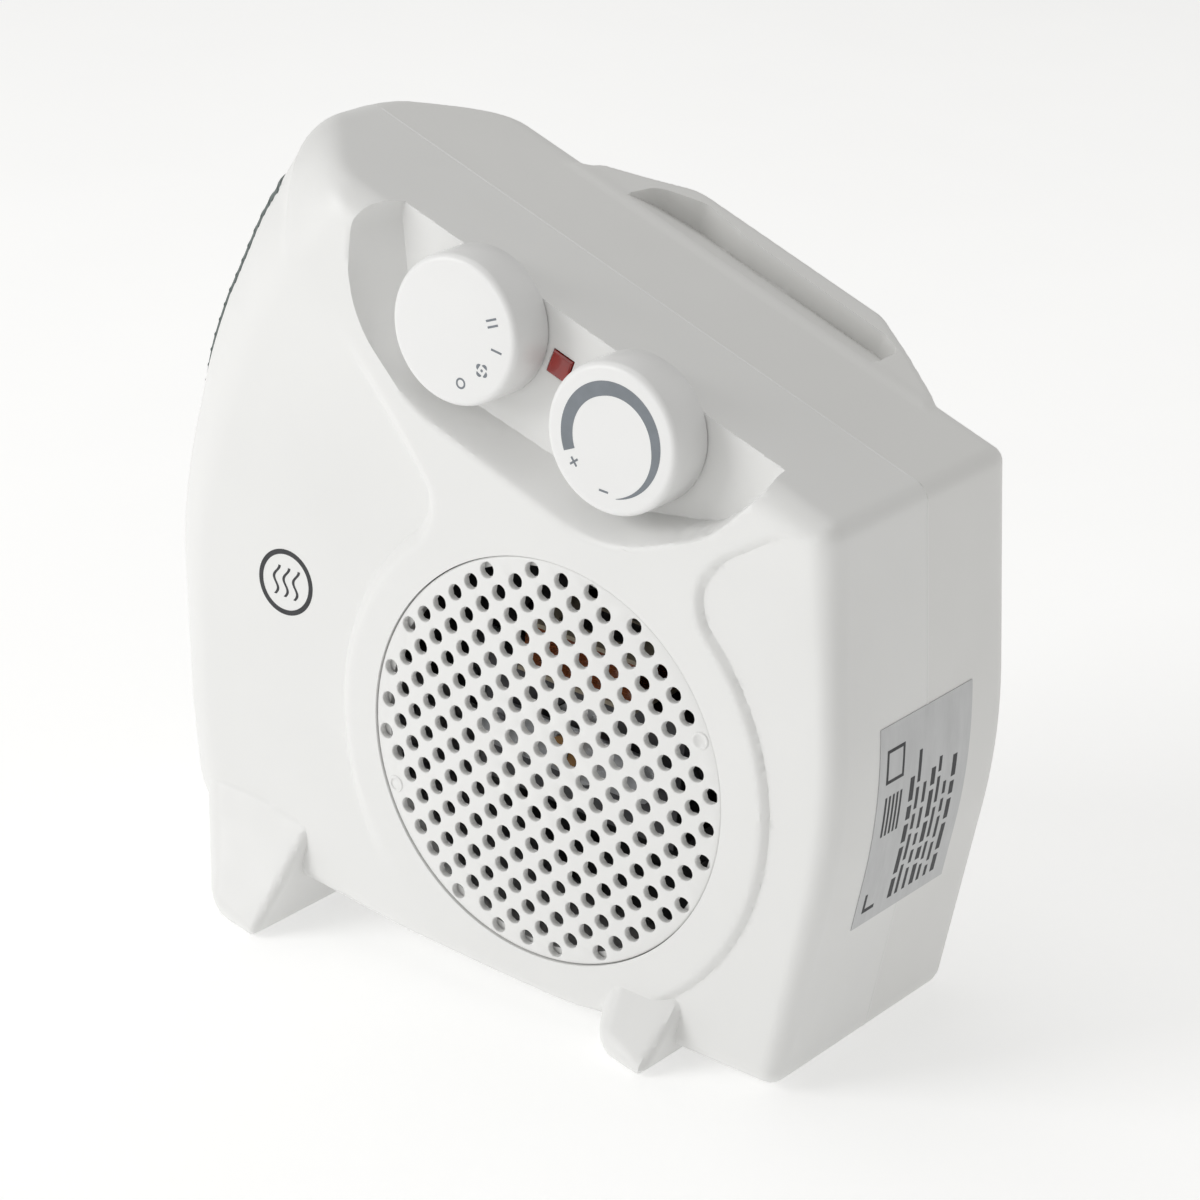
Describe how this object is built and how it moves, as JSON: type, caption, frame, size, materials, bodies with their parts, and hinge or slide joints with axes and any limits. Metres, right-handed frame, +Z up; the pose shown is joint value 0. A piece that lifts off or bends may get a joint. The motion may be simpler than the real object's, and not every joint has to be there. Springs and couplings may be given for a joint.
{
  "type": "ceramic fan heater",
  "caption": "Small white fan heater with a round perforated intake, two control knobs, a side outlet, splayed feet and a rear grip.",
  "frame": {"origin": "centre of the footprint on the surface that the heater stands on", "axes": "+X to the right and +Z up as seen from the front, +Y from the front face to the back, which is also the axis of the knobs and the fan"},
  "size_m": [0.239, 0.127, 0.2335],
  "materials": {
    "white_plastic": "fine satin moulded",
    "rear_plastic": "fine satin moulded",
    "knob_plastic": "satin moulded",
    "outlet_grey": "matte heat-resistant",
    "black_plastic": "matte",
    "cream_plastic": "matte",
    "steel": "zinc plated",
    "silicon_steel": "laminated",
    "copper": "enamelled copper wire",
    "aluminium": "plain",
    "brass": "plain",
    "bronze": "sintered",
    "ceramic": "fired, dull",
    "red_lens": "clear red",
    "glass": "clear",
    "sticker": "silvery satin",
    "ink": "printed"
  },
  "bodies": {
    "heater_body": {"front_shell": "white_plastic", "rear_shell": "rear_plastic", "intake_grille": "white_plastic", "outlet_grille": "outlet_grey", "case_screw_1": "steel", "case_screw_2": "steel", "case_screw_3": "steel", "case_screw_4": "steel", "rotary_switch": "cream_plastic", "thermostat_body": "steel", "lamp_lens": "red_lens", "neon_lamp": "glass", "motor_laminations": "silicon_steel", "coil_bobbin": "black_plastic", "motor_coil": "copper", "motor_bracket_front": "steel", "motor_bracket_rear": "steel", "bearing_front": "bronze", "bearing_rear": "bronze", "motor_strap": "steel", "motor_bolt_1": "steel", "motor_bolt_2": "steel", "strap_screw_1": "steel", "strap_screw_2": "steel", "fan_scroll": "black_plastic", "intake_plate": "black_plastic", "ceramic_bar_1": "ceramic", "ceramic_bar_2": "ceramic", "ceramic_bar_3": "ceramic", "fin_pack_1": "aluminium", "fin_pack_2": "aluminium", "fin_pack_3": "aluminium", "fin_pack_4": "aluminium", "element_holder_upper": "cream_plastic", "element_holder_lower": "cream_plastic", "element_tab_1": "brass", "element_tab_2": "brass", "element_tab_3": "brass", "thermal_cutout": "steel", "cord_gland": "black_plastic", "terminal_block": "cream_plastic", "rating_label": "sticker", "round_badge": "ink"},
    "mode_control": {"mode_knob": "knob_plastic", "mode_shaft": "cream_plastic"},
    "thermostat_control": {"thermostat_knob": "knob_plastic", "thermostat_shaft": "brass"},
    "fan": {"motor_shaft": "steel", "motor_rotor": "aluminium", "blower_wheel": "black_plastic", "wheel_clip": "steel"}
  },
  "joints": [
    {"name": "mode_turn", "type": "hinge", "parent": "heater_body", "child": "mode_control", "pos_m": [-0.00697, -0.0435, 0.1965], "axis": [0, 1, 0], "range_deg": [0, 99]},
    {"name": "thermostat_turn", "type": "hinge", "parent": "heater_body", "child": "thermostat_control", "pos_m": [0.04602, -0.0435, 0.17719], "axis": [0, 1, 0], "range_deg": [0, 280]},
    {"name": "fan_spin", "type": "hinge", "parent": "heater_body", "child": "fan", "pos_m": [0.02532, -0.0045, 0.07795], "axis": [0, 1, 0], "continuous": true}
  ]
}
